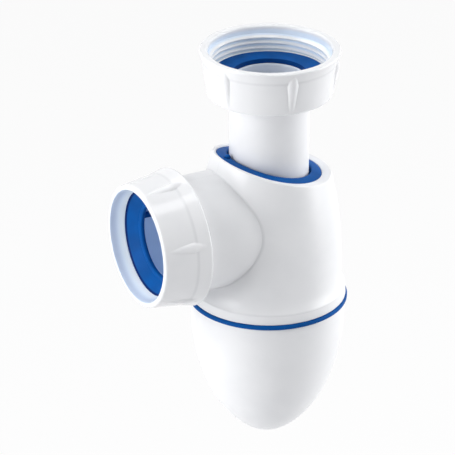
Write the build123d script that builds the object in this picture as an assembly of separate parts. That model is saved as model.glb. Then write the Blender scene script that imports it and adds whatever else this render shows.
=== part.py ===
from build123d import *
import math
import os

# Telescopic bottle trap for a basin, in millimetres. The origin is the centre of the inlet
# nut's mouth, +Z points up to the basin waste, and the outlet branch points along -X.

# Inlet nut and the flat washer inside it
INLET_THREAD_R = 24.1
INLET_THREAD_HEIGHT = 1.65
INLET_THREAD_DEPTH = 10.0
INLET_RIM_WALL = 3.55
INLET_SHOULDER_WALL = 2.1
INLET_END_WALL = 2.1
INLET_FLARE = 4.5
INLET_LIP = 3.7
INLET_RIB_ANGLE = 19.7
WASHER_THICKNESS = 2.0
WASHER_CLEARANCE = 0.3
WASHER_SETBACK = 0.6

# Grip ribs, the same on both nuts
RIB_COUNT = 6
RIB_WIDTH = 4.4
RIB_HEIGHT = 1.05
RIB_TIP_HEIGHT = 0.15
RIB_TIP_GAP = 1.6
RIB_BELLY = 1.2
RIB_LEAD = 4.0

# Edges of the nuts
RIM_EDGE_R = 0.5
INLET_END_EDGE_R = 1.0
OUTLET_END_EDGE_R = 1.9

# Sliding inlet tube
TUBE_R = 15.7
TUBE_WALL = 1.95
TUBE_NUT_GAP = 0.4
FLANGE_THICKNESS = 2.5
FLANGE_CLEARANCE = 0.5
WATER_SEAL = 50.5
PIPE_BORE_R = 14.3

# Slanted collar of the housing and the soft ring in it, high towards the branch
COLLAR_DROP = 47.3
COLLAR_SLOPE = 14.5
COLLAR_LOW_ANGLE = -17.0
COLLAR_RIM = 2.62
COLLAR_FLOOR = 2.2
COLLAR_TUBE_GAP = 0.5
COLLAR_EDGE_R = 0.7
RING_WIDTH = 5.1
RING_THICKNESS = 4.0
RING_SINK = 0.2
RING_MOUTH_GAP = 0.9
RING_MOUTH_DEPTH = 1.6
RING_LIP_GAP = 0.3
RING_EDGE_R = 0.5
NUB_R = 1.25
NUB_INSET = 2.9
NUB_ANGLE = 175.0

# Housing below the collar
BODY_SWELL = 5.98
BODY_WALL = 2.2
WIDEST_ABOVE_SKIRT = 13.7
SKIRT_BELOW_BRANCH = 10.15
SKIRT_FLARE = 1.88
SKIRT_FLARE_HEIGHT = 5.7
SKIRT_BAND = 4.1
SKIRT_BAND_TAPER = 0.28
NECK_WALL = 2.0
NECK_LENGTH = 13.0

# Outlet branch
BRANCH_BORE_R = 20.0
BRANCH_WALL = 3.0
BRANCH_THREAD_HEIGHT = 0.8
BRANCH_THREAD_LENGTH = 12.5
BRANCH_REACH = 50.4
BRANCH_DROP = 0.85
BRANCH_CUT_MARGIN = 1.0

# Outlet nut
OUTLET_THREAD_GAP = 0.35
OUTLET_RIM_WALL = 4.35
OUTLET_SHOULDER_WALL = 2.85
OUTLET_END_WALL = 2.0
OUTLET_FLARE = 5.8
OUTLET_OVERLAP = 10.56
OUTLET_LEAD_IN = 6.0
OUTLET_THROAT_R = 21.0
OUTLET_MOUTH_R = 22.4
OUTLET_RIB_ANGLE = 14.0

# Conical outlet seal and the strip that keys it to the branch
LIP_R = 14.55
LIP_LENGTH = 1.5
LIP_BEAD = 0.65
CONE_DEPTH = 4.2
CONE_THICKNESS = 2.35
SEAL_FLANGE_THICKNESS = 2.5
SEAL_FLANGE_GAP = 1.05
SEAL_BORE_GAP = 0.4
STRIP_WIDTH = 2.4
STRIP_THICKNESS = 1.2
STRIP_LENGTH = 20.0
STRIP_ANGLE = -82.0

# Bowl and its flat seal
BOWL_STEP = 0.33
BOWL_WALL = 2.35
BOWL_FLOOR = 2.2
BOWL_EDGE_R = 0.5
BOWL_DEPTH = 60.8
BOWL_THREAD_GAP = 1.0
BOWL_THREAD_DEPTH = 13.0
BOWL_SIDE_POWER = 2.327
BOWL_TIP_POWER = 1.649
BOWL_CURVE_STEPS = 7
BOWL_SEAL_THICKNESS = 1.8
BOWL_SEAL_PROUD = 0.62
BOWL_SEAL_GAP = 1.05
BOWL_SEAL_EDGE_R = 0.55

# Round blanks stand on their frame, or hang below it
FOOT = (Align.CENTER, Align.CENTER, Align.MIN)
HEAD = (Align.CENTER, Align.CENTER, Align.MAX)

# Levels down the trap's axis
washer_top_z = -INLET_THREAD_DEPTH
flange_top_z = washer_top_z - WASHER_THICKNESS
flange_bottom_z = flange_top_z - FLANGE_THICKNESS
inlet_nut_length = INLET_LIP - flange_bottom_z
collar_z = -COLLAR_DROP
branch_r = BRANCH_BORE_R + BRANCH_WALL
branch_z = collar_z - branch_r - BRANCH_DROP
skirt_z = branch_z - branch_r - SKIRT_BELOW_BRANCH
crease_z = skirt_z + SKIRT_BAND
flare_z = crease_z + SKIRT_FLARE_HEIGHT
widest_z = skirt_z + WIDEST_ABOVE_SKIRT
neck_z = skirt_z - NECK_LENGTH
bowl_z = skirt_z - BOWL_SEAL_THICKNESS
tube_end_z = branch_z - PIPE_BORE_R - WATER_SEAL

# Radii about the trap's axis
seat_r = INLET_THREAD_R - INLET_THREAD_HEIGHT
tube_bore_r = TUBE_R - TUBE_WALL
ring_r = TUBE_R + RING_WIDTH
collar_r = ring_r + COLLAR_RIM
body_r = collar_r + BODY_SWELL
skirt_r = body_r + SKIRT_FLARE
bowl_r = skirt_r - BOWL_STEP
bowl_bore_r = bowl_r - BOWL_WALL
neck_r = bowl_bore_r - BOWL_THREAD_GAP
neck_bore_r = neck_r - NECK_WALL

# The housing's side is one arc: upright at its widest level, and through the collar's edge
side_rise = collar_z - widest_z
side_arc_r = (side_rise**2 + BODY_SWELL**2) / (2 * BODY_SWELL)
side_centre_r = body_r - side_arc_r
slant_reach = collar_r * math.tan(math.radians(COLLAR_SLOPE))

# Places along the branch, counted outwards from the trap's axis
nut_rear = BRANCH_REACH - OUTLET_OVERLAP
seal_front = BRANCH_REACH + SEAL_FLANGE_THICKNESS
outlet_nut_length = seal_front + OUTLET_LEAD_IN - nut_rear
outlet_thread_r = branch_r + OUTLET_THREAD_GAP
branch_root_r = branch_r - BRANCH_THREAD_HEIGHT

# Branch frame: its z runs outwards along -X, its x points up
branch_frame = Plane(origin=(0, 0, branch_z), x_dir=(0, 0, 1), z_dir=(-1, 0, 0))
# Outlet nut frame: the rim lies on its xy plane, and the nut runs down its z, outwards
outlet_nut_frame = Plane(origin=(-nut_rear, 0, branch_z), x_dir=(0, 0, 1), z_dir=(1, 0, 0))


def turned(outline):
    """Solid turned about Z from a closed outline of (radius, height)."""
    return revolve(make_face(Plane.XZ * outline), axis=Axis.Z)


def turned_corners(points, edge_radii):
    """Solid turned about Z from the corners of its section, each with its edge radius."""
    return turned(FilletPolyline(*points, radius=edge_radii, close=True))


def side_radius(height, arc_r):
    """Radius of the housing's side arc, or of one inside it, at a height."""
    return side_centre_r + math.sqrt(arc_r**2 - (height - widest_z) ** 2)


def side_arc(arc_r, low, high):
    """Side arc of the housing between two heights, as an edge from high to low."""
    middle = (low + high) / 2
    ends = [(side_radius(height, arc_r), height) for height in (high, middle, low)]
    return ThreePointArc(*ends)


def under_slant(drop):
    """Everything below the collar's slanted plane when that is lowered by drop."""
    reach = 4 * (BRANCH_REACH - tube_end_z)
    below = Rot(0, COLLAR_SLOPE, 0) * Box(reach, reach, reach, align=HEAD)
    return Pos(0, 0, collar_z - drop) * Rot(0, 0, COLLAR_LOW_ANGLE) * below


def upright(radius, low, high):
    """Cylinder on the trap's axis between two heights."""
    return Pos(0, 0, low) * Cylinder(radius, high - low, align=FOOT)


def grip_rib(shoulder_r, end_r, flare, length):
    """Leaf-shaped rib along a nut's barrel: widest below the shoulder, narrow at both ends."""
    half_width = RIB_WIDTH / 2
    crest_r = (half_width**2 + RIB_HEIGHT**2) / (2 * RIB_HEIGHT)
    sunk = crest_r - RIB_HEIGHT
    tip_r = sunk + RIB_TIP_HEIGHT
    shoulder = Vector(shoulder_r, 0, -flare)
    barrel = Vector(end_r, 0, RIB_TIP_GAP - length) - shoulder
    along = barrel.normalized()
    inwards = Vector(0, 1, 0).cross(along)
    belly = Plane(origin=shoulder + along * RIB_BELLY + inwards * sunk, z_dir=along)
    tail = Cone(crest_r, tip_r, barrel.length - RIB_BELLY, align=FOOT)
    return belly * (tail + Cone(tip_r, crest_r, RIB_BELLY + RIB_LEAD, align=HEAD))


def ribbed_blank(rim_r, shoulder_r, end_r, flare, length, end_edge_r, rib_angle):
    """Nut before its bore: flared rim on the xy plane, drafted barrel below it, grip ribs."""
    corners = [(0, 0), (rim_r, 0), (shoulder_r, -flare), (end_r, -length), (0, -length)]
    blank = turned_corners(corners, [0, RIM_EDGE_R, 0, end_edge_r, 0])
    rib = grip_rib(shoulder_r, end_r, flare, length)
    for index in range(RIB_COUNT):
        blank += Rot(0, 0, rib_angle + index * 360 / RIB_COUNT) * rib
    return blank


def make_inlet_nut():
    blank = ribbed_blank(
        INLET_THREAD_R + INLET_RIM_WALL,
        INLET_THREAD_R + INLET_SHOULDER_WALL,
        seat_r + INLET_END_WALL,
        INLET_FLARE,
        inlet_nut_length,
        INLET_END_EDGE_R,
        INLET_RIB_ANGLE,
    )
    blank -= upright(INLET_THREAD_R, washer_top_z, 0)
    blank -= upright(seat_r, flange_bottom_z, washer_top_z)
    return blank - upright(TUBE_R + TUBE_NUT_GAP, -inlet_nut_length, flange_bottom_z)


def make_inlet_washer():
    outside = upright(seat_r - WASHER_CLEARANCE, flange_top_z, washer_top_z)
    return outside - upright(tube_bore_r + WASHER_SETBACK, flange_top_z, washer_top_z)


def make_inlet_tube():
    flange = upright(seat_r - FLANGE_CLEARANCE, flange_bottom_z, flange_top_z)
    tube = upright(TUBE_R, tube_end_z, flange_top_z) + flange
    return tube - upright(tube_bore_r, tube_end_z, flange_top_z)


def make_trap_body():
    top_z = collar_z + slant_reach + COLLAR_RIM
    flare = (side_radius(flare_z, side_arc_r), flare_z)
    crease = (skirt_r - SKIRT_BAND_TAPER, crease_z)
    outline = (
        Polyline((0, neck_z), (0, top_z), (side_radius(top_z, side_arc_r), top_z))
        + side_arc(side_arc_r, flare_z, top_z)
        + TangentArc(flare, crease, tangent=(0, -1))
        + Polyline(crease, (skirt_r, skirt_z), (neck_r, skirt_z), (neck_r, neck_z), (0, neck_z))
    )
    thread_start = BRANCH_REACH - BRANCH_THREAD_LENGTH
    branch = Cylinder(branch_r, thread_start, align=FOOT) + Cylinder(branch_root_r, BRANCH_REACH, align=FOOT)
    body = turned(outline) + branch_frame * branch
    body = body & under_slant(0)
    slanted_top = body.faces().sort_by(Axis.Z)[-1]
    body = fillet(slanted_top.edges(), COLLAR_EDGE_R)

    inner_arc_r = side_arc_r - BODY_WALL
    ledge_z = skirt_z + BODY_WALL
    ledge = (side_radius(ledge_z, inner_arc_r), ledge_z)
    inside = (
        Polyline((0, top_z), (side_radius(top_z, inner_arc_r), top_z))
        + side_arc(inner_arc_r, ledge_z, top_z)
        + Polyline(ledge, (neck_bore_r, ledge_z), (neck_bore_r, neck_z), (0, neck_z), (0, top_z))
    )
    ring_drop = RING_SINK + RING_THICKNESS
    body -= turned(inside) & under_slant(ring_drop + COLLAR_FLOOR)
    body -= upright(ring_r, neck_z, top_z) - under_slant(ring_drop)
    body -= upright(TUBE_R + COLLAR_TUBE_GAP, neck_z, top_z)

    inside_r = side_radius(branch_z, inner_arc_r)
    bore_start = math.sqrt(inside_r**2 - BRANCH_BORE_R**2) - BRANCH_CUT_MARGIN
    bore = Cylinder(BRANCH_BORE_R, BRANCH_REACH - bore_start, align=FOOT)
    return body - branch_frame * Pos(0, 0, bore_start) * bore


def make_collar_seal():
    ring_drop = RING_SINK + RING_THICKNESS
    low = collar_z - ring_drop - slant_reach
    high = collar_z + slant_reach
    ring = upright(ring_r, low, high) & under_slant(RING_SINK)
    ring -= under_slant(ring_drop)
    ring -= upright(TUBE_R + RING_LIP_GAP, low, high)
    ring -= upright(TUBE_R + RING_MOUTH_GAP, low, high) - under_slant(RING_SINK + RING_MOUTH_DEPTH)
    slanted_top = ring.faces().sort_by(Axis.Z)[-1]
    ring = fillet(slanted_top.edges(), RING_EDGE_R)
    nub_r = ring_r - NUB_INSET
    fall = math.tan(math.radians(COLLAR_SLOPE)) * math.cos(math.radians(NUB_ANGLE - COLLAR_LOW_ANGLE))
    nub_z = collar_z - RING_SINK - nub_r * fall
    return ring + Rot(0, 0, NUB_ANGLE) * Pos(nub_r, 0, nub_z) * Sphere(NUB_R)


def make_outlet_nut():
    blank = ribbed_blank(
        outlet_thread_r + OUTLET_RIM_WALL,
        outlet_thread_r + OUTLET_SHOULDER_WALL,
        OUTLET_MOUTH_R + OUTLET_END_WALL,
        OUTLET_FLARE,
        outlet_nut_length,
        OUTLET_END_EDGE_R,
        OUTLET_RIB_ANGLE,
    )
    seat_z = nut_rear - seal_front
    lead_in = Cone(OUTLET_MOUTH_R, OUTLET_THROAT_R, OUTLET_LEAD_IN, align=FOOT)
    blank -= upright(outlet_thread_r, seat_z, 0)
    return outlet_nut_frame * (blank - Pos(0, 0, -outlet_nut_length) * lead_in)


def make_outlet_seal():
    flange_r = outlet_thread_r - SEAL_FLANGE_GAP
    cone_r = BRANCH_BORE_R - SEAL_BORE_GAP
    bead_r = LIP_R + LIP_BEAD
    lip_front = seal_front - CONE_DEPTH
    lip_back = lip_front - LIP_LENGTH
    section = [
        (flange_r, BRANCH_REACH),
        (flange_r, seal_front),
        (OUTLET_THROAT_R, seal_front),
        (bead_r, lip_front),
        (LIP_R, lip_front),
        (LIP_R, lip_back),
        (bead_r, lip_front - CONE_THICKNESS),
        (cone_r, BRANCH_REACH - LIP_BEAD),
        (cone_r, BRANCH_REACH),
    ]
    seal = turned_corners(section, 0)
    strip = Box(STRIP_THICKNESS, STRIP_WIDTH, STRIP_LENGTH, align=(Align.MAX, Align.CENTER, Align.MAX))
    strip = Rot(0, 0, -STRIP_ANGLE) * Pos(cone_r, 0, BRANCH_REACH) * strip
    return branch_frame * (seal + strip)


def bowl_curve(radius, depth, start):
    """Bullet outline from a depth below the bowl's rim down to the tip on the axis."""
    first = math.asin((start / depth) ** (BOWL_SIDE_POWER / 2))
    turns = [first + (math.pi / 2 - first) * step / BOWL_CURVE_STEPS for step in range(BOWL_CURVE_STEPS)]
    points = []
    for turn in turns:
        across = radius * math.cos(turn) ** (2 / BOWL_TIP_POWER)
        down = depth * math.sin(turn) ** (2 / BOWL_SIDE_POWER)
        points.append((across, bowl_z - down))
    return points + [(0, bowl_z - depth)]


def make_bowl():
    outer = bowl_curve(bowl_r, BOWL_DEPTH, 0)
    outline = Polyline(outer[-1], (0, bowl_z), outer[0]) + Spline(*outer, tangents=[(0, -1), (-1, 0)])
    inner_depth = BOWL_DEPTH - BOWL_FLOOR
    inner = bowl_curve(bowl_bore_r, inner_depth, BOWL_THREAD_DEPTH)
    thread_z = bowl_z - BOWL_THREAD_DEPTH
    corners = [inner[-1], (0, bowl_z), (bowl_bore_r, bowl_z), (bowl_bore_r, thread_z), inner[0]]
    steep = Vector(*inner[1]) - Vector(*inner[0])
    inside = Polyline(*corners) + Spline(*inner, tangents=[steep, (-1, 0)])
    bowl = turned(outline) - turned(inside)
    rim_edges = bowl.edges().group_by(Axis.Z)[-1]
    return fillet(rim_edges.sort_by(SortBy.LENGTH)[-1], BOWL_EDGE_R)


def make_bowl_seal():
    inner_r = neck_r + BOWL_SEAL_GAP
    outer_r = skirt_r + BOWL_SEAL_PROUD
    section = [(inner_r, bowl_z), (outer_r, bowl_z), (outer_r, skirt_z), (inner_r, skirt_z)]
    return turned_corners(section, [0, BOWL_SEAL_EDGE_R, BOWL_SEAL_EDGE_R, 0])


PIECES = {
    "inlet_nut": make_inlet_nut,
    "inlet_washer": make_inlet_washer,
    "inlet_tube": make_inlet_tube,
    "trap_body": make_trap_body,
    "collar_seal": make_collar_seal,
    "outlet_nut": make_outlet_nut,
    "outlet_seal": make_outlet_seal,
    "bowl_seal": make_bowl_seal,
    "bowl": make_bowl,
}

os.makedirs("parts", exist_ok=True)
for name, make in PIECES.items():
    export_step(make(), f"parts/{name}.step")
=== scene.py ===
import math

import bmesh
import bpy
from mathutils import Matrix, Quaternion, Vector


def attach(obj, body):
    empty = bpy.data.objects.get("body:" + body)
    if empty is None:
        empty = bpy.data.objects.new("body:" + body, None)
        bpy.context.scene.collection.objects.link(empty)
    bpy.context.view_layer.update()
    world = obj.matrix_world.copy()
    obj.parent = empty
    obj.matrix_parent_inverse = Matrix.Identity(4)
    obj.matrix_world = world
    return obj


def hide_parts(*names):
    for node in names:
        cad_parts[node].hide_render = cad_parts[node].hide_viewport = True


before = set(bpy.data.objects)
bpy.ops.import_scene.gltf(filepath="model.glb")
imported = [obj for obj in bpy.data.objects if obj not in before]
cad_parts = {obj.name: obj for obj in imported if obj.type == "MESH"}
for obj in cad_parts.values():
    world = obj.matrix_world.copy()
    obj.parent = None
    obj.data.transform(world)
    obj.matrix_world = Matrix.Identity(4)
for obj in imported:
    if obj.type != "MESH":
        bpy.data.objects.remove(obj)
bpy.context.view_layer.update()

# Viewpoint
# The trap hangs in the air, as it does below a basin, seen from its outlet's side and from above.
# A long lens about a metre away keeps its upright lines almost parallel.
VIEW_TURN = math.radians(29.2)
VIEW_DIP = math.radians(25.539)
VIEW_ROLL = math.radians(0.207)
VIEW_PLACE = (-0.50318, -0.86725, 0.40247)
VIEW_LENS = 221.5
VIEW_DEPTHS = (0.05, 40)
lens = bpy.data.cameras.new("viewpoint")
lens.lens = VIEW_LENS
lens.sensor_width = 36
lens.clip_start, lens.clip_end = VIEW_DEPTHS
viewpoint = bpy.data.objects.new("viewpoint", lens)
bpy.context.scene.collection.objects.link(viewpoint)
sight_level = math.cos(VIEW_DIP)
sight = Vector((math.sin(VIEW_TURN) * sight_level, math.cos(VIEW_TURN) * sight_level, -math.sin(VIEW_DIP)))
viewpoint.location = VIEW_PLACE
viewpoint.rotation_mode = "QUATERNION"
viewpoint.rotation_quaternion = sight.to_track_quat("-Z", "Y") @ Quaternion((0, 0, 1), VIEW_ROLL)
bpy.context.scene.camera = viewpoint


# Studio
# A pale sheet of floor far below the trap, with soft white lamps left and right of it and weaker ones
# behind it and overhead. The round pieces keep a grey band between the left lamp and the right one.
class Wire:
    """A value in a node tree; arithmetic on wires adds the Math nodes that work it out."""

    def __init__(self, socket):
        self.socket = socket

    @staticmethod
    def node(tree, kind, settings, sockets, output=0):
        """Adds any node: its settings come first, then its sockets' values or links."""
        node = tree.nodes.new(kind)
        for name, value in settings.items():
            setattr(node, name, value)
        for name, value in sockets.items():
            if isinstance(value, Wire):
                tree.links.new(value.socket, node.inputs[name])
            else:
                node.inputs[name].default_value = value
        return Wire(node.outputs[output]) if len(node.outputs) else node

    def maths(self, operation, *values):
        sockets = dict(enumerate((self,) + values))
        return Wire.node(self.socket.node.id_data, "ShaderNodeMath", {"operation": operation}, sockets)

    def flipped(self, operation, value):
        sockets = {0: value, 1: self}
        return Wire.node(self.socket.node.id_data, "ShaderNodeMath", {"operation": operation}, sockets)

    def __add__(self, other):
        return self.maths("ADD", other)

    def __sub__(self, other):
        return self.maths("SUBTRACT", other)

    def __mul__(self, other):
        return self.maths("MULTIPLY", other)

    def __truediv__(self, other):
        return self.maths("DIVIDE", other)

    def __lt__(self, other):
        return self.maths("LESS_THAN", other)

    def __gt__(self, other):
        return self.maths("GREATER_THAN", other)

    def __abs__(self):
        return self.maths("ABSOLUTE")

    def __radd__(self, other):
        return self.flipped("ADD", other)

    def __rsub__(self, other):
        return self.flipped("SUBTRACT", other)

    def __rmul__(self, other):
        return self.flipped("MULTIPLY", other)

    def __rtruediv__(self, other):
        return self.flipped("DIVIDE", other)

    def ease(self, low, high):
        """0 at low, 1 at high, with a soft step between; low may be the larger one."""
        sockets = {"Value": self, "From Min": low, "From Max": high, "To Min": 0.0, "To Max": 1.0}
        settings = {"interpolation_type": "SMOOTHSTEP"}
        return Wire.node(self.socket.node.id_data, "ShaderNodeMapRange", settings, sockets)


FLOOR_DROP = 0.46
FLOOR_REACH = 6
FLOOR_PAPER = (0.78, 0.78, 0.79, 1)
FLOOR_GLOW = 0.93
BACKGROUND = (1.0, 1.0, 1.0, 1)
AMBIENT = (0.95, 0.97, 1, 1)
AMBIENT_STRENGTH = 0.22
TRAP_MIDDLE = Vector((0, 0, -0.085))


def seen_directly(tree):
    """1 for what the viewer sees, straight or in a reflection, and 0 for light that falls on the trap."""
    rays = tree.nodes.new("ShaderNodeLightPath")
    straight = Wire(rays.outputs["Is Camera Ray"])
    mirrored = Wire(rays.outputs["Is Glossy Ray"])
    through = Wire(rays.outputs["Is Transmission Ray"])
    return straight.maths("MAXIMUM", mirrored).maths("MAXIMUM", through)


def blank_material(name):
    """New material, and its empty node tree."""
    material = bpy.data.materials.new(name)
    material.use_nodes = True
    material.node_tree.nodes.clear()
    return material, material.node_tree


floor_mesh = bpy.data.meshes.new("studio_floor")
floor_sides = ((-1, -1), (1, -1), (1, 1), (-1, 1))
floor_corners = [(x * FLOOR_REACH, y * FLOOR_REACH, -FLOOR_DROP) for x, y in floor_sides]
floor_mesh.from_pydata(floor_corners, [], [(0, 1, 2, 3)])
floor = bpy.data.objects.new("studio_floor", floor_mesh)
bpy.context.scene.collection.objects.link(floor)
paper, paper_tree = blank_material("studio_paper")
sheet = Wire.node(paper_tree, "ShaderNodeBsdfDiffuse", {}, {"Color": FLOOR_PAPER})
glow = Wire.node(paper_tree, "ShaderNodeEmission", {}, {"Color": BACKGROUND, "Strength": 1.0})
shown = seen_directly(paper_tree) * FLOOR_GLOW
lit = Wire.node(paper_tree, "ShaderNodeMixShader", {}, {0: shown, 1: sheet, 2: glow})
Wire.node(paper_tree, "ShaderNodeOutputMaterial", {}, {"Surface": lit})
floor_mesh.materials.append(paper)

room = bpy.data.worlds.new("studio_room")
room.use_nodes = True
room.node_tree.nodes.clear()
backdrop = Wire.node(room.node_tree, "ShaderNodeBackground", {}, {"Color": BACKGROUND, "Strength": 1.0})
ambient = Wire.node(room.node_tree, "ShaderNodeBackground", {}, {
    "Color": AMBIENT, "Strength": AMBIENT_STRENGTH,
})
shown = seen_directly(room.node_tree)
around = Wire.node(room.node_tree, "ShaderNodeMixShader", {}, {0: shown, 1: ambient, 2: backdrop})
Wire.node(room.node_tree, "ShaderNodeOutputWorld", {}, {"Surface": around})
bpy.context.scene.world = room


def softbox(name, turn, rise, distance, width, height, power):
    """Broad lamp aimed at the trap: turn in degrees to the viewer's right, rise above level."""
    to_viewer = Vector((-math.sin(VIEW_TURN), -math.cos(VIEW_TURN), 0))
    to_right = Vector((math.cos(VIEW_TURN), -math.sin(VIEW_TURN), 0))
    level = to_viewer * math.cos(math.radians(turn)) + to_right * math.sin(math.radians(turn))
    away = level * math.cos(math.radians(rise)) + Vector((0, 0, math.sin(math.radians(rise))))
    lamp = bpy.data.lights.new(name, "AREA")
    lamp.shape = "RECTANGLE"
    lamp.size = width
    lamp.size_y = height
    lamp.energy = power
    stand = bpy.data.objects.new(name, lamp)
    stand.location = TRAP_MIDDLE + away * distance
    stand.rotation_euler = away.to_track_quat("Z", "Y").to_euler()
    bpy.context.scene.collection.objects.link(stand)


softbox("left_softbox", turn=-62, rise=16, distance=1.1, width=0.75, height=1.1, power=12.3)
softbox("right_softbox", turn=90, rise=18, distance=1.1, width=0.6, height=1.1, power=9.4)
softbox("back_softbox", turn=122, rise=20, distance=1.1, width=0.5, height=1.0, power=4.0)
softbox("far_softbox", turn=-135, rise=52, distance=1.1, width=0.6, height=0.6, power=4.0)
softbox("top_softbox", turn=60, rise=82, distance=1.2, width=0.36, height=0.45, power=1.6)
bpy.context.scene.view_settings.view_transform = "Standard"


# Housing
# The middle of the trap, one white injection moulding: a swelling shell with a slanted collar on top,
# a side branch for the outlet, a flared skirt and a threaded neck that the bowl screws onto.
MM = 0.001
COLLAR_Z = -48.9
SLANT = 0.2425
SLANT_BEND = 0.0038
BRANCH_Z = -71.15
SIDE_CENTRE_R = -130.35
SIDE_ARC_R = 159.75
WIDEST_Z = -90.6
WALL = 2.2
RING_POCKET_R = 20.8
RING_POCKET_DEPTH = 4.2
COLLAR_PLATE = 6.4
RIM_ROOM = 2.2
TUBE_HOLE_R = 16.2
SKIRT_R = 31.28
SKIRT_Z = -104.3
CREASE_R = 31.0
CREASE_Z = -100.2
FLARE_TOP_Z = -94.5
FLARE_STEPS = 9
SIDE_STEPS = 26
INSIDE_STEPS = 18
NECK_R = 27.6
NECK_BORE_R = 25.6
NECK_Z = -117.3
BRANCH_BORE_R = 20.0
BORE_START = 8.0
BORE_CUT_END = 44.0
BORE_CUT_R = 20.02
BRANCH_R = 23.0
BRANCH_ROOT_R = 22.2
BRANCH_THREAD_START = 37.9
BRANCH_REACH = 50.4
SHARP_EDGE = math.radians(34)


def rounded(corners, steps=6):
    """Closed outline through corners (across, along, edge radius), each edge rounded."""
    points = []
    for index, (across, along, edge) in enumerate(corners):
        here = Vector((across, along))
        if edge == 0:
            points.append((across, along))
            continue
        back = Vector(corners[index - 1][:2]) - here
        ahead = Vector(corners[(index + 1) % len(corners)][:2]) - here
        half = back.angle(ahead) / 2
        reach = min(edge / math.tan(half), 0.49 * back.length, 0.49 * ahead.length)
        middle = here + (back.normalized() + ahead.normalized()).normalized() * (reach / math.cos(half))
        first = here + back.normalized() * reach - middle
        last = here + ahead.normalized() * reach - middle
        start = math.atan2(first.y, first.x)
        sweep = (math.atan2(last.y, last.x) - start + math.pi) % math.tau - math.pi
        for step in range(steps + 1):
            turn = start + sweep * step / steps
            points.append((
                middle.x + first.length * math.cos(turn), middle.y + first.length * math.sin(turn)))
    return points


def upright(across, turn, along):
    """Point at a radius, an angle and a height about the trap's axis."""
    return (across * math.cos(turn) * MM, across * math.sin(turn) * MM, along * MM)


def on_branch(across, turn, along):
    """Point about the branch's axis, at a distance outwards from the trap's axis."""
    return (-along * MM, across * math.sin(turn) * MM, (BRANCH_Z + across * math.cos(turn)) * MM)


def shaped(name, shape):
    """Piece with its faces turned outwards, smooth but for its sharp edges."""
    bmesh.ops.recalc_face_normals(shape, faces=shape.faces)
    mesh = bpy.data.meshes.new(name)
    shape.to_mesh(mesh)
    shape.free()
    mesh.shade_smooth()
    mesh.set_sharp_from_angle(angle=SHARP_EDGE)
    piece = bpy.data.objects.new(name, mesh)
    bpy.context.scene.collection.objects.link(piece)
    return piece


def skin(name, loops, ring=True):
    """Closed mesh through like loops of points that follow one another round an axis."""
    shape = bmesh.new()
    rows = [[shape.verts.new(point) for point in loop] for loop in loops]
    for row, following in zip(rows, rows[1:] + rows[:1]):
        for index in range(0 if ring else 1, len(row)):
            shape.faces.new((row[index], row[index - 1], following[index - 1], following[index]))
    bmesh.ops.remove_doubles(shape, verts=shape.verts, dist=1e-7)
    return shaped(name, shape)


def turned(name, outline, turns, place=upright, ring=True):
    """Closed mesh of one outline carried round an axis."""
    return skin(name, [[place(across, turn, along) for across, along in outline] for turn in turns], ring)


def even_turns(count):
    return [math.tau * index / count for index in range(count)]


def side_radius(height, arc_r):
    return SIDE_CENTRE_R + math.sqrt(arc_r**2 - (height - WIDEST_Z) ** 2)


def slanted(across, turn, drop):
    """Height of the collar's slanted, slightly hollow top, lowered by drop, at a radius and an angle."""
    towards_low = across * math.cos(turn)
    return COLLAR_Z - drop - SLANT * towards_low + SLANT_BEND * towards_low**2


def slant_edge(turn, drop, arc_r):
    """Radius at which the side's arc meets the lowered slanted top."""
    across = RING_POCKET_R
    for _ in range(12):
        across = side_radius(slanted(across, turn, drop), arc_r)
    return across


def housing_outline(turn):
    """Section of the shell at an angle: neck, skirt, flare, side, collar, ring pocket and inside."""
    flare_r = side_radius(FLARE_TOP_Z, SIDE_ARC_R)
    run = FLARE_TOP_Z - CREASE_Z
    out = CREASE_R - flare_r
    arc_r = (run**2 + out**2) / (2 * out)
    lean = math.asin(run / arc_r)
    corners = [
        (NECK_R, NECK_Z, 0.6),
        (NECK_R, SKIRT_Z, 0.3),
        (SKIRT_R, SKIRT_Z, 0.5),
        (CREASE_R, CREASE_Z, 0.25),
    ]
    for step in range(1, FLARE_STEPS + 1):
        tilt = lean * (1 - step / FLARE_STEPS)
        corners.append((flare_r + arc_r * (1 - math.cos(tilt)), FLARE_TOP_Z - arc_r * math.sin(tilt), 0))
    rim_r = slant_edge(turn, 0, SIDE_ARC_R)
    top = slanted(rim_r, turn, 0)
    for step in range(1, SIDE_STEPS + 1):
        height = FLARE_TOP_Z + (top - RIM_ROOM - FLARE_TOP_Z) * step / SIDE_STEPS
        corners.append((side_radius(height, SIDE_ARC_R), height, 0))
    corners += [
        (rim_r, top, 0.7),
        (RING_POCKET_R, slanted(RING_POCKET_R, turn, 0), 0.4),
        (RING_POCKET_R, slanted(RING_POCKET_R, turn, RING_POCKET_DEPTH), 0),
        (TUBE_HOLE_R, slanted(TUBE_HOLE_R, turn, RING_POCKET_DEPTH), 0.3),
        (TUBE_HOLE_R, slanted(TUBE_HOLE_R, turn, COLLAR_PLATE), 0.3),
    ]
    inner_r = slant_edge(turn, COLLAR_PLATE, SIDE_ARC_R - WALL)
    under = slanted(inner_r, turn, COLLAR_PLATE)
    corners.append((inner_r, under, 0))
    ledge = SKIRT_Z + WALL
    for step in range(1, INSIDE_STEPS + 1):
        height = under + (ledge - under) * step / INSIDE_STEPS
        corners.append((side_radius(height, SIDE_ARC_R - WALL), height, 0))
    corners += [(NECK_BORE_R, ledge, 0.4), (NECK_BORE_R, NECK_Z, 0.6)]
    return rounded(corners)


def joined(piece, extras):
    """Adds other pieces' meshes to a piece and removes them."""
    shape = bmesh.new()
    for part in [piece] + extras:
        shape.from_mesh(part.data)
    shape.to_mesh(piece.data)
    shape.free()
    for part in extras:
        bpy.data.objects.remove(part)


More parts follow.
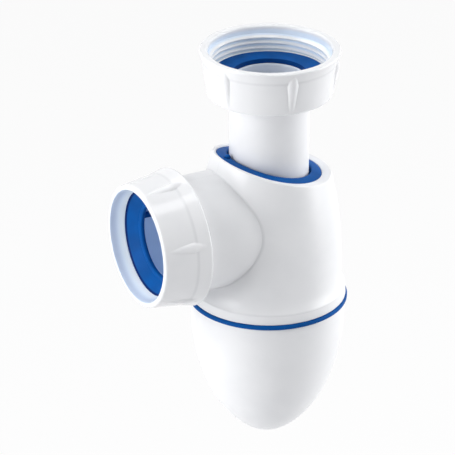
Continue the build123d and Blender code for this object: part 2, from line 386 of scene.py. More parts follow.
def made_plain(piece):
    """Turns a piece with its modifiers into one plain mesh."""
    depsgraph = bpy.context.evaluated_depsgraph_get()
    mesh = bpy.data.meshes.new_from_object(piece.evaluated_get(depsgraph))
    piece.modifiers.clear()
    piece.data = mesh


housing = skin("housing_shell", [
    [upright(r, turn, z) for r, z in housing_outline(turn)] for turn in even_turns(288)])
bore_outline = [(0, BORE_START), (BORE_CUT_R, BORE_START), (BORE_CUT_R, BORE_CUT_END), (0, BORE_CUT_END)]
bore_cutter = turned("bore_cutter", bore_outline, even_turns(144), on_branch, ring=False)
cut = housing.modifiers.new("branch_bore", "BOOLEAN")
cut.operation = "DIFFERENCE"
cut.solver = "EXACT"
cut.object = bore_cutter
made_plain(housing)
bpy.data.objects.remove(bore_cutter)


def branch_start(across, turn):
    """Place on the branch that lies half-way through the shell's wall, at a radius and an angle."""
    height = BRANCH_Z + across * math.cos(turn)
    return math.sqrt((side_radius(height, SIDE_ARC_R) - WALL / 2) ** 2 - (across * math.sin(turn)) ** 2)


def branch_outline(turn):
    """Section of the branch at an angle, from inside the shell's wall out to its end."""
    corners = [
        (BRANCH_BORE_R, branch_start(BRANCH_BORE_R, turn), 0),
        (BRANCH_R, branch_start(BRANCH_R, turn), 0),
        (BRANCH_R, BRANCH_THREAD_START, 0.3),
        (BRANCH_ROOT_R, BRANCH_THREAD_START, 0),
        (BRANCH_ROOT_R, BRANCH_REACH, 0.5),
        (BRANCH_BORE_R, BRANCH_REACH, 0.5),
    ]
    return rounded(corners)


branch = skin("branch", [
    [on_branch(r, turn, out) for r, out in branch_outline(turn)] for turn in even_turns(192)])
joined(housing, [branch])


def tree_input(tree, name, kind):
    tree.interface.new_socket(name, in_out="INPUT", socket_type=kind)


def dressed(piece, tree, values):
    """Puts a piece through a Geometry Nodes tree with these inputs and keeps the plain mesh."""
    modifier = piece.modifiers.new(tree.name, "NODES")
    modifier.node_group = tree
    for item in tree.interface.items_tree:
        if item.in_out == "INPUT" and item.name in values:
            modifier[item.identifier] = values[item.name]
    made_plain(piece)


# The thread's ridge winds on a spiral at its root, right-handed, and fades out at both ends.
RIDGE_FADE = (-1.0 * MM, 14.0 * MM)
RIDGE_THINNEST = 0.03
RIDGE_SUNK = 0.25 * MM
RIDGE_EDGE = 0.14 * MM
thread = bpy.data.node_groups.new("thread_ridge", "GeometryNodeTree")
tree_input(thread, "Geometry", "NodeSocketGeometry")
for size in ("Root Radius", "Height", "Inwards", "Root Width", "Crest Width", "Pitch", "Turns", "Start",
             "First Angle"):
    tree_input(thread, size, "NodeSocketFloat")
tree_input(thread, "Tilt", "NodeSocketVector")
tree_input(thread, "Origin", "NodeSocketVector")
tree_input(thread, "Material", "NodeSocketMaterial")
thread.interface.new_socket("Geometry", in_out="OUTPUT", socket_type="NodeSocketGeometry")
given = {socket.name: Wire(socket) for socket in thread.nodes.new("NodeGroupInput").outputs if socket.name}
spiral = Wire.node(thread, "GeometryNodeCurveSpiral", {}, {
    "Resolution": 120, "Rotations": given["Turns"], "Start Radius": given["Root Radius"],
    "End Radius": given["Root Radius"], "Height": given["Turns"] * given["Pitch"], "Reverse": True,
})
start = Wire.node(thread, "ShaderNodeCombineXYZ", {}, {"Z": given["Start"]})
first_turn = Wire.node(thread, "ShaderNodeCombineXYZ", {}, {"Z": given["First Angle"]})
spiral = Wire.node(thread, "GeometryNodeTransform", {}, {
    "Geometry": spiral, "Translation": start, "Rotation": first_turn,
})
along = Wire.node(thread, "GeometryNodeSplineParameter", {}, {}, "Length")
whole = Wire.node(thread, "GeometryNodeSplineLength", {}, {}, "Length")
fade = along.maths("MINIMUM", whole - along).ease(*RIDGE_FADE).maths("MAXIMUM", RIDGE_THINNEST)
spiral = Wire.node(thread, "GeometryNodeSetCurveRadius", {}, {"Curve": spiral, "Radius": fade})
depth = given["Height"] + RIDGE_SUNK
section = Wire.node(thread, "GeometryNodeCurvePrimitiveQuadrilateral", {"mode": "TRAPEZOID"}, {
    "Bottom Width": given["Root Width"], "Top Width": given["Crest Width"], "Height": depth, "Offset": 0.0,
})
section = Wire.node(thread, "GeometryNodeFilletCurve", {"mode": "POLY"}, {
    "Curve": section, "Count": 3, "Radius": RIDGE_EDGE,
})
facing = 1 - 2 * given["Inwards"]
stood = Wire.node(thread, "ShaderNodeCombineXYZ", {}, {"Z": facing * (-math.pi / 2)})
proud = Wire.node(thread, "ShaderNodeCombineXYZ", {}, {"X": facing * (depth / 2 - RIDGE_SUNK)})
section = Wire.node(thread, "GeometryNodeTransform", {}, {
    "Geometry": section, "Translation": proud, "Rotation": stood,
})
ridge = Wire.node(thread, "GeometryNodeCurveToMesh", {}, {
    "Curve": spiral, "Profile Curve": section, "Scale": fade, "Fill Caps": True,
})
ridge = Wire.node(thread, "GeometryNodeSetShadeSmooth", {}, {"Geometry": ridge})
ridge = Wire.node(thread, "GeometryNodeTransform", {}, {
    "Geometry": ridge, "Translation": given["Origin"], "Rotation": given["Tilt"],
})
blank_and_ridge = thread.nodes.new("GeometryNodeJoinGeometry")
thread.links.new(ridge.socket, blank_and_ridge.inputs[0])
thread.links.new(given["Geometry"].socket, blank_and_ridge.inputs[0])
solid = Wire.node(thread, "GeometryNodeRealizeInstances", {}, {"Geometry": Wire(blank_and_ridge.outputs[0])})
painted = Wire.node(thread, "GeometryNodeSetMaterial", {}, {"Geometry": solid, "Material": given["Material"]})
Wire.node(thread, "NodeGroupOutput", {}, {0: painted})


def thread_sizes(root_r, height, widths, pitch, turns, start, material, inwards=0.0, first_turn=0.0):
    """Inputs of the thread tree for one thread: lengths in millimetres, widths at its root and crest."""
    return {
        "Root Radius": root_r * MM, "Height": height * MM, "Inwards": inwards, "Root Width": widths[0] * MM,
        "Crest Width": widths[1] * MM, "Pitch": pitch * MM, "Turns": turns, "Start": start * MM,
        "First Angle": first_turn, "Material": material,
    }


def place_of(tree):
    """Place on the surface, whole in metres and as three wires in millimetres."""
    place = Wire.node(tree, "ShaderNodeTexCoord", {}, {}, "Object")
    split = Wire.node(tree, "ShaderNodeSeparateXYZ", {}, {"Vector": place})
    return [place] + [Wire(socket) / MM for socket in split.socket.node.outputs]


def mottle(tree, place, scale, detail=2.0):
    return Wire.node(tree, "ShaderNodeTexNoise", {}, {"Vector": place, "Scale": scale, "Detail": detail})


def blended(tree, share, first, second):
    """Colour between two others."""
    return Wire.node(tree, "ShaderNodeMix", {"data_type": "RGBA"}, {0: share, 6: first, 7: second}, 2)


WHITE = (0.85, 0.855, 0.87, 1)
WHITE_CLOUD = (0.81, 0.817, 0.835, 1)
# Painted shade colours: bluish shade for shaded inner walls, grey shade along the parting line, darker grey
# shade in creases.
PAINTED_SHADE_BLUE = (0.66, 0.75, 0.90, 1)
PARTING_SHADE_GREY = (0.62, 0.63, 0.66, 1)
CREASE_SHADE_GREY = (0.40, 0.41, 0.44, 1)
NO_LIGHT = (0, 0, 0, 1)


def moulded_white(name, inside=None, shade_blue=PAINTED_SHADE_BLUE, seam_and_shade=None, crease_shade=None, through=None, glow_colour=None,
                  matt=0.3):
    """Glossy white moulding: faint clouds, a fine grain, painted bluish shade on inner walls, a parting
    line with painted shade along it, painted shade in creases and a painted glow for light through thin
    walls."""
    material, tree = blank_material(name)
    place, x, y, z = place_of(tree)
    clouds = mottle(tree, place, scale=55.0, detail=3.0).ease(0.3, 0.75)
    colour = blended(tree, clouds, WHITE, WHITE_CLOUD)
    relief = mottle(tree, place, scale=900.0) * 0.5 + mottle(tree, place, scale=160.0) * 0.9
    # Painted shade: a bluish tone on shaded inner walls, standing for light bounced from the blue seals.
    if inside:
        colour = blended(tree, inside(x, y, z), colour, shade_blue)
    # The parting line's relief is real, in the bump; its grey is painted shade along it.
    if seam_and_shade:
        line = seam_and_shade(x, y, z)
        relief = relief + line * 2.2
        colour = blended(tree, line * 0.25, colour, PARTING_SHADE_GREY)
    # Painted shade: darker grey in the creases where two forms meet.
    if crease_shade:
        colour = blended(tree, crease_shade(x, y, z) * 0.22, colour, CREASE_SHADE_GREY)
    bump = Wire.node(tree, "ShaderNodeBump", {}, {"Strength": 0.16, "Distance": 0.00008, "Height": relief})
    gloss = matt + 0.06 * mottle(tree, place, scale=240.0)
    surface = Wire.node(tree, "ShaderNodeBsdfPrincipled", {}, {
        "Base Color": colour, "Roughness": gloss, "Normal": bump, "IOR": 1.48,
    })
    # Painted glow: emission standing for light through the thin wall, though the part is no lamp.
    if through:
        glow_emission = blended(tree, through(x, y, z), NO_LIGHT, glow_colour)
        tree.links.new(glow_emission.socket, surface.socket.node.inputs["Emission Color"])
        surface.socket.node.inputs["Emission Strength"].default_value = 1.0
    Wire.node(tree, "ShaderNodeOutputMaterial", {}, {"Surface": surface})
    return material


def from_axis(first, second):
    """Distance from an axis, out of the two coordinates across it."""
    return (first * first + second * second).maths("SQRT")


def from_branch(y, z):
    """Distance from the branch's axis."""
    return from_axis(y, z - BRANCH_Z)


def in_bore(x, y, z):
    """1 on the wall of the branch's bore, where bluish shade and a glow are painted."""
    return from_branch(y, z).ease(BRANCH_BORE_R + 0.6, BRANCH_BORE_R + 0.2) * (x < -BORE_START)


def on_parting(x, y, z):
    """1 on the mould's parting line, which runs down the collar's side to the branch; its relief is real and
    its grey is painted shade.
    """
    return abs(y).ease(0.22, 0.06) * (x < -12.0) * (z > BRANCH_Z)


def housing_crease_shade(x, y, z):
    """1 where the branch runs into the shell, and less in the crease above the skirt: painted shade in these
    creases.
    """
    out = from_branch(y, z)
    at_branch = abs(out - (BRANCH_R + 0.1)).ease(0.8, 0.1) * (x < -10.0) * (out > BRANCH_R + 0.03)
    return at_branch + abs(z - CREASE_Z).ease(0.6, 0.1) * 0.7


def within_shell(x, y, z):
    """1 on the shell's inner wall and 0 on its outside."""
    rise = z - WIDEST_Z
    side = (SIDE_ARC_R**2 - rise * rise).maths("SQRT") + SIDE_CENTRE_R
    return side - from_axis(x, y) > WALL / 2


def housing_painted_glow(x, y, z):
    """Share of the painted glow, standing for light through the wall: most in the branch's bore near its end,
    a little in the shell.
    """
    in_branch = in_bore(x, y, z) * (0.3 + 0.7 * x.ease(-26.0, -46.0))
    return in_branch.maths("MAXIMUM", within_shell(x, y, z) * 0.22)


# Painted bluish shade in the bore, painted shade on the parting line and in the creases, and a painted glow.
housing_white = moulded_white(
    "housing_white", inside=in_bore, seam_and_shade=on_parting, crease_shade=housing_crease_shade, through=housing_painted_glow,
    glow_colour=(0.045, 0.08, 0.15, 1))
PIPE_PITCH = 2.309
BRANCH_WIDTHS = (1.2, 0.3)
BRANCH_TILT = (0, -math.pi / 2, 0)
NECK_PITCH = 4.0
NECK_HEIGHT = 0.75
NECK_WIDTHS = (1.5, 0.6)
branch_thread = thread_sizes(BRANCH_ROOT_R, 0.7, BRANCH_WIDTHS, PIPE_PITCH, 4.6, 38.9, housing_white)
dressed(housing, thread, branch_thread | {"Tilt": BRANCH_TILT, "Origin": (0, 0, BRANCH_Z * MM)})
dressed(housing, thread, thread_sizes(
    NECK_R, NECK_HEIGHT, NECK_WIDTHS, NECK_PITCH, 2.2, -116.3, housing_white))
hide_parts("trap_body")
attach(housing, "trap_body")


# Collar seal
# Blue elastomer ring pressed into the collar's pocket. Its top rises from the slanted rim towards the
# sliding tube, which its inner lip grips, and a small moulding nub stands on it towards the branch.
RING_SINK = 0.2
RING_THICKNESS = 4.0
RING_MOUTH_R = 16.6
RING_MOUTH_DEPTH = 1.6
RING_LIP_R = 16.0
RING_RISE = 1.1
NUB_R = 1.25
NUB_OUT = 17.8
NUB_TURN = math.radians(175)
NUB_STEPS = 16
SEAL_BLUE = (0.003, 0.088, 0.34, 1)
SEAL_BLUE_CLOUD = (0.004, 0.074, 0.28, 1)
# Painted shade for edges in gaps.
SEAL_GAP_SHADE = (0.002, 0.020, 0.12, 1)


def soft_blue(name, gap_shade=None):
    """Satin blue elastomer with a cloudy tone, a fine, slightly uneven skin and painted shade at an edge in a
    gap.
    """
    material, tree = blank_material(name)
    place, x, y, z = place_of(tree)
    clouds = mottle(tree, place, scale=120.0, detail=3.0).ease(0.3, 0.7)
    colour = blended(tree, clouds, SEAL_BLUE, SEAL_BLUE_CLOUD)
    if gap_shade:
        colour = blended(tree, gap_shade(x, y, z), colour, SEAL_GAP_SHADE)
    relief = mottle(tree, place, scale=1600.0) * 0.6 + mottle(tree, place, scale=300.0)
    bump = Wire.node(tree, "ShaderNodeBump", {}, {"Strength": 0.25, "Distance": 0.0001, "Height": relief})
    gloss = 0.38 + 0.16 * mottle(tree, place, scale=400.0)
    surface = Wire.node(tree, "ShaderNodeBsdfPrincipled", {}, {
        "Base Color": colour, "Roughness": gloss, "Normal": bump, "IOR": 1.5, "Specular IOR Level": 0.05,
    })
    Wire.node(tree, "ShaderNodeOutputMaterial", {}, {"Surface": surface})
    return material


def ring_top(across, turn):
    """Height of the ring's top, which rises from the collar's rim towards the tube."""
    rise = RING_RISE * (RING_POCKET_R - across) / (RING_POCKET_R - RING_MOUTH_R)
    return slanted(across, turn, RING_SINK - rise)


def collar_ring_outline(turn):
    """Section of the ring at an angle, with the step that leaves its lip free below the mouth."""
    floor_drop = RING_SINK + RING_THICKNESS
    mouth_drop = RING_SINK + RING_MOUTH_DEPTH
    corners = [
        (RING_POCKET_R, slanted(RING_POCKET_R, turn, floor_drop), 0),
        (RING_POCKET_R, ring_top(RING_POCKET_R, turn), 0.5),
        (RING_MOUTH_R, ring_top(RING_MOUTH_R, turn), 0.5),
        (RING_MOUTH_R, slanted(RING_MOUTH_R, turn, mouth_drop), 0.2),
        (RING_LIP_R, slanted(RING_LIP_R, turn, mouth_drop), 0.2),
        (RING_LIP_R, slanted(RING_LIP_R, turn, floor_drop), 0.2),
    ]
    return rounded(corners)


collar_seal = skin("collar_ring", [
    [upright(r, turn, z) for r, z in collar_ring_outline(turn)] for turn in even_turns(240)])
nub_tilts = [math.pi * step / NUB_STEPS for step in range(NUB_STEPS + 1)]
nub_outline = [(NUB_R * math.sin(tilt), NUB_R * math.cos(tilt)) for tilt in nub_tilts]
nub = turned("nub", nub_outline, even_turns(36), ring=False)
nub_place = upright(NUB_OUT, NUB_TURN, ring_top(NUB_OUT, NUB_TURN))
nub.data.transform(Matrix.Translation(nub_place))
joined(collar_seal, [nub])


def nub_foot_shade(x, y, z):
    """Painted shade round the foot of the nub where it stands on the ring."""
    nub_x, nub_y, nub_z = [size / MM for size in nub_place]
    beside = from_axis(x - nub_x, y - nub_y)
    return beside.ease(NUB_R + 0.65, NUB_R + 0.05) * z.ease(nub_z + 0.8, nub_z + 0.1) * 0.8


collar_seal.data.materials.append(soft_blue("collar_seal_blue", nub_foot_shade))
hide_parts("collar_seal")
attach(collar_seal, "trap_body")


# Inlet tube
# Straight white tube with a flat flange at its head. It slides in the collar to set the height, and
# its lower end dips into the water in the bowl.
TUBE_R = 15.7
TUBE_BORE_R = 13.75
TUBE_END_Z = -135.95
FLANGE_R = 21.95
FLANGE_TOP_Z = -12.0
FLANGE_BOTTOM_Z = -14.5
tube_outline = rounded([
    (TUBE_R, TUBE_END_Z, 0.5),
    (TUBE_R, FLANGE_BOTTOM_Z, 0.3),
    (FLANGE_R, FLANGE_BOTTOM_Z, 0.3),
    (FLANGE_R, FLANGE_TOP_Z, 0.3),
    (TUBE_BORE_R, FLANGE_TOP_Z, 0.5),
    (TUBE_BORE_R, TUBE_END_Z, 0.5),
])
inlet_tube = turned("sliding_tube", tube_outline, even_turns(256))


def tube_bore_shade(x, y, z):
    """Share of the painted bluish shade on the tube's bore."""
    return from_axis(x, y).ease(TUBE_BORE_R + 0.85, TUBE_BORE_R + 0.35) * 0.45


inlet_tube.data.materials.append(moulded_white("tube_white", inside=tube_bore_shade))
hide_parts("inlet_tube")
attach(inlet_tube, "inlet_tube")


# Inlet washer
# Flat washer cut from blue elastomer. It lies on the tube's flange, inside the nut, and seals against
# the end of the waste's tail when the nut is done up.
WASHER_R = 22.15
WASHER_HOLE_R = 14.35
WASHER_TOP_Z = -10.0
washer_outline = rounded([
    (WASHER_R, FLANGE_TOP_Z, 0.2),
    (WASHER_R, WASHER_TOP_Z, 0.25),
    (WASHER_HOLE_R, WASHER_TOP_Z, 0.25),
    (WASHER_HOLE_R, FLANGE_TOP_Z, 0.2),
])
inlet_washer = turned("flat_washer", washer_outline, even_turns(224))


def washer_hole_shade(x, y, z):
    """Painted shade at the washer's hole."""
    return from_axis(x, y).ease(WASHER_HOLE_R + 0.2, WASHER_HOLE_R + 0.05) * 0.6


inlet_washer.data.materials.append(soft_blue("washer_blue", washer_hole_shade))
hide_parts("inlet_washer")
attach(inlet_washer, "inlet_tube")


# Inlet nut
# White union nut with a flared rim, a drafted barrel and six leaf-shaped grip ribs. It hangs on the
# tube's flange, and its thread screws onto the tail of the basin's waste.
RIB_COUNT = 6
RIB_HALF_WIDTH = 2.2
RIB_HEIGHT = 1.05
RIB_TIP_GAP = 1.6
RIB_BELLY = 1.2
RIB_LEAD = 4.0
RIB_END = (1.06, 0.9)
RIB_LEAST_R = 0.5 * MM
RIB_BLEND = 0.1 * MM
RIB_STEP = 0.35
RIB_STEPS = 20
RIB_GAP_STEP = 1.643
RIB_GAP_STEPS = 27
BARREL_SKIN = 0.6 * MM
NUT_STEP = 0.5
NUT_MATT = 0.07
INLET_ROOT_R = 24.1
INLET_SEAT_R = 22.45
INLET_RIM_R = 27.65
INLET_SHOULDER_R = 26.2
INLET_END_R = 24.55
INLET_FLARE = 4.5
INLET_LENGTH = 18.2
INLET_HOLE_R = 16.1
INLET_RIB_TURN = math.radians(19.7)
INLET_RIB_TIP = 0.35
# Painted bluish shade for the inlet nut's thread grooves.
INLET_SHADE_BLUE = (0.68, 0.77, 0.90, 1)
INLET_THREAD_WIDTHS = (1.9, 0.5)

# Each point of a nut's outer wall is lifted to the crest of the rib that it lies under.
ribs = bpy.data.node_groups.new("grip_ribs", "GeometryNodeTree")
tree_input(ribs, "Geometry", "NodeSocketGeometry")
for size in ("Count", "First Angle", "Shoulder Radius", "Shoulder Height", "Draft", "Belly", "Tail", "Lead",
             "Crest Radius", "Tip Radius", "Depth"):
    tree_input(ribs, size, "NodeSocketFloat")
tree_input(ribs, "Material", "NodeSocketMaterial")
ribs.interface.new_socket("Geometry", in_out="OUTPUT", socket_type="NodeSocketGeometry")
given = {socket.name: Wire(socket) for socket in ribs.nodes.new("NodeGroupInput").outputs if socket.name}
spot = Wire.node(ribs, "GeometryNodeInputPosition", {}, {})
spot = Wire.node(ribs, "ShaderNodeSeparateXYZ", {}, {"Vector": spot})
spot_x, spot_y, spot_z = [Wire(socket) for socket in spot.socket.node.outputs]
across = from_axis(spot_x, spot_y)
spacing = math.tau / given["Count"]
turn = spot_y.maths("ARCTAN2", spot_x) - given["First Angle"]
turn = turn - spacing * (turn / spacing).maths("ROUND")
beside = across * turn.maths("SINE")
below = given["Shoulder Height"] - spot_z
barrel = given["Shoulder Radius"] - given["Draft"] * below
past = below - given["Belly"]
slim = (past / given["Tail"]).maths("MAXIMUM", (0 - past) / given["Lead"])
leaf_r = given["Crest Radius"] - (given["Crest Radius"] - given["Tip Radius"]) * slim
crest = (leaf_r * leaf_r - beside * beside).maths("MAXIMUM", 0.0).maths("SQRT")
lift = (barrel - given["Depth"] + crest - across).maths("SMOOTH_MAX", 0.0, RIB_BLEND)
lift = lift * slim.ease(*RIB_END) * (leaf_r > RIB_LEAST_R) * (across > barrel - BARREL_SKIN) / across
raised = Wire.node(ribs, "ShaderNodeCombineXYZ", {}, {"X": spot_x * lift, "Y": spot_y * lift})
ribbed = Wire.node(ribs, "GeometryNodeSetPosition", {}, {"Geometry": given["Geometry"], "Offset": raised})
solid = Wire.node(ribs, "GeometryNodeRealizeInstances", {}, {"Geometry": ribbed})
painted = Wire.node(ribs, "GeometryNodeSetMaterial", {}, {"Geometry": solid, "Material": given["Material"]})
Wire.node(ribs, "NodeGroupOutput", {}, {0: painted})


def rib_sizes(first_turn, tip_height, shoulder_r, end_r, flare, length, material):
    """Inputs of the rib tree for one nut."""
    crest_r = (RIB_HALF_WIDTH**2 + RIB_HEIGHT**2) / (2 * RIB_HEIGHT)
    run = length - RIB_TIP_GAP - flare
    return {
        "Count": float(RIB_COUNT), "First Angle": first_turn, "Shoulder Radius": shoulder_r * MM,
        "Shoulder Height": -flare * MM, "Draft": (shoulder_r - end_r) / run, "Belly": RIB_BELLY * MM,
        "Tail": (run - RIB_BELLY) * MM, "Lead": (RIB_BELLY + RIB_LEAD) * MM, "Crest Radius": crest_r * MM,
        "Tip Radius": (crest_r - RIB_HEIGHT + tip_height) * MM, "Depth": (crest_r - RIB_HEIGHT) * MM,
        "Material": material,
    }


def nut_turns(first_turn):
    """Angles round a nut, close together across its ribs."""
    turns = []
    for rib in range(RIB_COUNT):
        middle = first_turn + math.tau * rib / RIB_COUNT
        foot = RIB_STEPS * RIB_STEP
        turns += [middle + math.radians(step * RIB_STEP) for step in range(-RIB_STEPS, RIB_STEPS + 1)]
        turns += [middle + math.radians(foot + step * RIB_GAP_STEP) for step in range(1, RIB_GAP_STEPS + 1)]
    return turns


def finely(outline):
    """Closed outline with its long straight runs divided."""
    points = []
    for index, (across, along) in enumerate(outline):
        before = Vector(outline[index - 1])
        here = Vector((across, along))
        parts = max(1, math.ceil((here - before).length / NUT_STEP))
        points += [tuple(before.lerp(here, part / parts)) for part in range(1, parts + 1)]
    return points


def at_shoulder(out, along, shoulder_r, width):
    """1 in the fold between the ribs where a nut's flare meets its barrel, where shade is painted."""
    between_ribs = (out > shoulder_r - 0.7) * out.ease(shoulder_r + 0.4, shoulder_r + 0.15)
    return abs(along).ease(width, 0.1) * between_ribs


inlet_nut_outline = finely(rounded([
    (INLET_END_R, -INLET_LENGTH, 1.0),
    (INLET_SHOULDER_R, -INLET_FLARE, 0.25),
    (INLET_RIM_R, 0, 0.6),
    (INLET_ROOT_R, 0, 0.9),
    (INLET_ROOT_R, WASHER_TOP_Z, 0),
    (INLET_SEAT_R, WASHER_TOP_Z, 0.3),
    (INLET_SEAT_R, FLANGE_BOTTOM_Z, 0),
    (INLET_HOLE_R, FLANGE_BOTTOM_Z, 0.4),
    (INLET_HOLE_R, -INLET_LENGTH, 0.5),
]))
inlet_nut = turned("inlet_union_nut", inlet_nut_outline, nut_turns(INLET_RIB_TURN))


def inlet_thread_shade(x, y, z):
    """1 in the grooves of the nut's thread, where bluish shade is painted."""
    out = from_axis(x, y)
    return out.ease(22.9, 23.8) * out.ease(24.6, 24.1) * z.ease(-0.6, -2.2) * (z > -15.2)


# Painted shade in the fold at the inlet nut's shoulder.
def inlet_shoulder_shade(x, y, z):
    return at_shoulder(from_axis(x, y), z + INLET_FLARE, INLET_SHOULDER_R, 0.9) * 0.6


def inlet_painted_glow(x, y, z):
    """Share of the painted glow round the thread, standing for light through the wall."""
    out = from_axis(x, y)
    return out.ease(24.7, 24.3) * (out > 22.2) * z.ease(-0.6, -2.2)


# Painted bluish shade in the thread, painted shade at the shoulder, and a painted glow.
inlet_white = moulded_white(
    "inlet_nut_white", inside=inlet_thread_shade, shade_blue=INLET_SHADE_BLUE, crease_shade=inlet_shoulder_shade, through=inlet_painted_glow,
    glow_colour=(0.055, 0.06, 0.055, 1), matt=NUT_MATT)
dressed(inlet_nut, ribs, rib_sizes(
    INLET_RIB_TURN, INLET_RIB_TIP, INLET_SHOULDER_R, INLET_END_R, INLET_FLARE, INLET_LENGTH, inlet_white))
dressed(inlet_nut, thread, thread_sizes(
    INLET_ROOT_R, 1.65, INLET_THREAD_WIDTHS, PIPE_PITCH, 3.3, WASHER_TOP_Z, inlet_white,
    inwards=1.0, first_turn=math.radians(230)))
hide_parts("inlet_nut")
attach(inlet_nut, "inlet_nut")


# Outlet seal
# Blue elastomer seal with a flat flange that the nut clamps on the branch's end, and a cone down to
# the beaded lip that stretches over the waste pipe. A thin strip on it lies along the branch's bore.
SEAL_FLANGE_R = 22.3
SEAL_FACE = 52.9
SEAL_CONE_R = 21.0
SEAL_BACK_R = 19.6
SEAL_LIP_R = 14.55
STRIP_TURN = math.radians(82)
STRIP_MIDDLE_R = 19.0
STRIP_HALF_DEPTH = 0.6
STRIP_HALF_WIDTH = 1.2
STRIP_EDGE = 0.3
STRIP_PLACES = (30.4, 30.8, 36.0, 43.0, 50.0)
STRIP_TIP = 0.8
seal_outline = rounded([
    (SEAL_FLANGE_R, BRANCH_REACH, 0.2),
    (SEAL_FLANGE_R, SEAL_FACE, 0.2),
    (SEAL_CONE_R, SEAL_FACE, 0.4),
    (16.2, 49.3, 0.3),
    (15.8, 49.5, 0.3),
    (14.8, 49.2, 0.5),
    (SEAL_LIP_R, 48.7, 0.3),
    (SEAL_LIP_R, 48.0, 0.2),
    (15.3, 47.3, 0.3),
    (SEAL_BACK_R, 49.75, 0.2),
    (SEAL_BACK_R, BRANCH_REACH, 0),
])
outlet_seal = turned("outlet_cone_seal", seal_outline, even_turns(224), on_branch)
strip_section = rounded([
    (deep * STRIP_HALF_DEPTH, aside * STRIP_HALF_WIDTH, STRIP_EDGE)
    for deep, aside in ((-1, -1), (1, -1), (1, 1), (-1, 1))], 4)
strip_shape = bmesh.new()
rings = []
for out in STRIP_PLACES:
    ring = []
    for deep, aside in strip_section:
        share = STRIP_TIP if out == STRIP_PLACES[0] else 1.0
        reach = STRIP_MIDDLE_R + deep * share
        up = reach * math.cos(STRIP_TURN) - aside * share * math.sin(STRIP_TURN)
        back = reach * math.sin(STRIP_TURN) + aside * share * math.cos(STRIP_TURN)
        ring.append(strip_shape.verts.new((-out * MM, back * MM, (BRANCH_Z + up) * MM)))
    rings.append(ring)
for ring, following in zip(rings, rings[1:]):
    for index in range(len(ring)):
        strip_shape.faces.new((ring[index], ring[index - 1], following[index - 1], following[index]))
strip_shape.faces.new(rings[0])
strip_shape.faces.new(rings[-1])
joined(outlet_seal, [shaped("strip", strip_shape)])


def nut_lip_shadow(x, y, z):
    """Painted shadow where the seal's flange goes behind the nut's lip."""
    return from_branch(y, z).ease(20.2, 20.6) * (x < -50.5)


outlet_seal.data.materials.append(soft_blue("outlet_seal_blue", nut_lip_shadow))
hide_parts("outlet_seal")
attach(outlet_seal, "outlet_seal")


# Outlet nut
# White union nut on the branch, ribbed like the inlet's. Its front lip is broad and round, and its
# mouth narrows to a throat that presses on the seal's flange.
OUTLET_ROOT_R = 23.35
OUTLET_RIM_R = 27.7
OUTLET_SHOULDER_R = 26.2
OUTLET_END_R = 24.4
OUTLET_FLARE = 5.8
OUTLET_LENGTH = 19.06
OUTLET_SEAT = 13.06
OUTLET_REAR = 39.84
OUTLET_RIB_TURN = math.radians(14)
OUTLET_RIB_TIP = 0.15
OUTLET_THROAT_R = 21.0
OUTLET_MOUTH_R = 22.4
outlet_nut_outline = finely(rounded([
    (OUTLET_END_R, -OUTLET_LENGTH, 1.9),
    (OUTLET_SHOULDER_R, -OUTLET_FLARE, 0.25),
    (OUTLET_RIM_R, 0, 0.6),
    (OUTLET_ROOT_R, 0, 0.4),
    (OUTLET_ROOT_R, -OUTLET_SEAT, 0),
    (OUTLET_THROAT_R, -OUTLET_SEAT, 0.25),
    (OUTLET_MOUTH_R, -OUTLET_LENGTH, 0.2),
]))
outlet_nut = turned("outlet_union_nut", outlet_nut_outline, nut_turns(OUTLET_RIB_TURN))


def outlet_mouth_shade(x, y, z):
    """1 on the wall of the nut's mouth, near its front, where bluish shade is painted."""
    return from_branch(y, z).ease(OUTLET_MOUTH_R + 0.4, OUTLET_MOUTH_R) * x.ease(-53.5, -57.5)


# Painted shade in the fold at the outlet nut's shoulder.
def outlet_shoulder_shade(x, y, z):
    along = x + (OUTLET_REAR + OUTLET_FLARE)
    return at_shoulder(from_branch(y, z), along, OUTLET_SHOULDER_R, 1.0) * 0.75


def outlet_painted_glow(x, y, z):
    """Share of the painted glow on the mouth's wall, most towards the seal, standing for light through the
    wall.
    """
    return from_branch(y, z).ease(OUTLET_MOUTH_R + 0.4, OUTLET_MOUTH_R) * x.ease(-57.8, -54.8)


# Painted bluish shade in the mouth, painted shade at the shoulder, and a painted glow.
outlet_white = moulded_white(
    "outlet_nut_white", inside=outlet_mouth_shade, crease_shade=outlet_shoulder_shade, through=outlet_painted_glow,
    glow_colour=(0.15, 0.19, 0.20, 1), matt=NUT_MATT)
dressed(outlet_nut, ribs, rib_sizes(
    OUTLET_RIB_TURN, OUTLET_RIB_TIP, OUTLET_SHOULDER_R, OUTLET_END_R, OUTLET_FLARE, OUTLET_LENGTH,
    outlet_white))
dressed(outlet_nut, thread, thread_sizes(
    OUTLET_ROOT_R, 0.85, BRANCH_WIDTHS, PIPE_PITCH, 4.2, -11.76, outlet_white, inwards=1.0))
laid_on_branch = Matrix((
    (0, 0, 1, -OUTLET_REAR * MM), (0, -1, 0, 0), (1, 0, 0, BRANCH_Z * MM), (0, 0, 0, 1)))
outlet_nut.data.transform(laid_on_branch)
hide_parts("outlet_nut")
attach(outlet_nut, "outlet_nut")


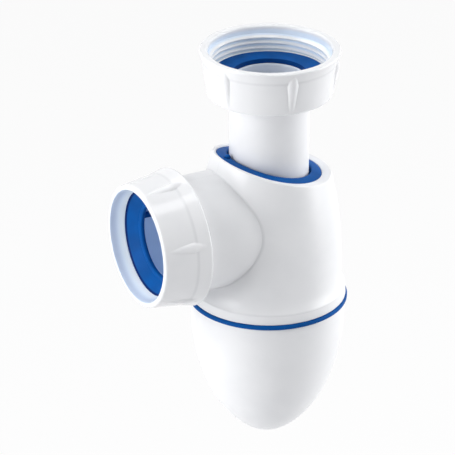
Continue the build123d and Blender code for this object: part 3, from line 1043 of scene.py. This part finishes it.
# Bowl seal
# Flat ring of blue elastomer that the bowl's rim presses against the housing's skirt when the bowl is
# screwed up. Its rounded edge stands a little proud of both.
BOWL_Z = -106.1
BOWL_SEAL_R = 31.9
BOWL_SEAL_HOLE_R = 28.65
bowl_seal_outline = rounded([
    (BOWL_SEAL_HOLE_R, BOWL_Z, 0.3),
    (BOWL_SEAL_R, BOWL_Z, 0.55),
    (BOWL_SEAL_R, SKIRT_Z, 0.55),
    (BOWL_SEAL_HOLE_R, SKIRT_Z, 0.3),
])
bowl_seal = turned("bowl_ring", bowl_seal_outline, even_turns(288))
bowl_seal.data.materials.append(soft_blue("bowl_seal_blue"))
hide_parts("bowl_seal")
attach(bowl_seal, "bowl_seal")


# Bowl
# White bullet-shaped cup that holds the water seal. It screws onto the housing's neck by a coarse
# thread inside its rim and comes off by hand for cleaning.
BOWL_R = 30.95
BOWL_BORE_R = 28.6
BOWL_DEPTH = 60.8
BOWL_FLOOR = 2.2
BOWL_THREAD_DEPTH = 13.0
BOWL_RIM_RUN = 2.0
SIDE_POWER = 2.327
TIP_POWER = 1.649


def bullet(radius, depth, start, steps):
    """Bullet curve from a depth below the rim down to the tip on the axis."""
    first = math.asin((start / depth) ** (SIDE_POWER / 2))
    points = []
    for step in range(steps + 1):
        turn = first + (math.pi / 2 - first) * (step / steps)
        across = radius * max(math.cos(turn), 0.0) ** (2 / TIP_POWER) if step < steps else 0.0
        points.append((across, BOWL_Z - depth * math.sin(turn) ** (2 / SIDE_POWER)))
    return points


outer_curve = bullet(BOWL_R, BOWL_DEPTH, BOWL_RIM_RUN, 60)
inner_curve = bullet(BOWL_BORE_R, BOWL_DEPTH - BOWL_FLOOR, BOWL_THREAD_DEPTH, 44)
rim_outline = rounded([
    (*outer_curve[0], 0),
    (BOWL_R, BOWL_Z, 0.5),
    (BOWL_BORE_R, BOWL_Z, 0.4),
    (BOWL_BORE_R, BOWL_Z - BOWL_THREAD_DEPTH, 0),
])
bowl_outline = outer_curve[::-1] + rim_outline[1:] + inner_curve
bowl = turned("bullet_bowl", bowl_outline, even_turns(256), ring=False)


def bowl_rim_shade(x, y, z):
    """1 on the bowl's inner wall beside its thread, where bluish shade is painted."""
    return from_axis(x, y).ease(BOWL_BORE_R + 0.6, BOWL_BORE_R + 0.2) * (z > -118.0)


bowl_white = moulded_white("bowl_white", inside=bowl_rim_shade)
dressed(bowl, thread, thread_sizes(
    BOWL_BORE_R, NECK_HEIGHT, NECK_WIDTHS, NECK_PITCH, 2.4, -118.3, bowl_white, inwards=1.0))
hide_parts("bowl")
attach(bowl, "bowl")
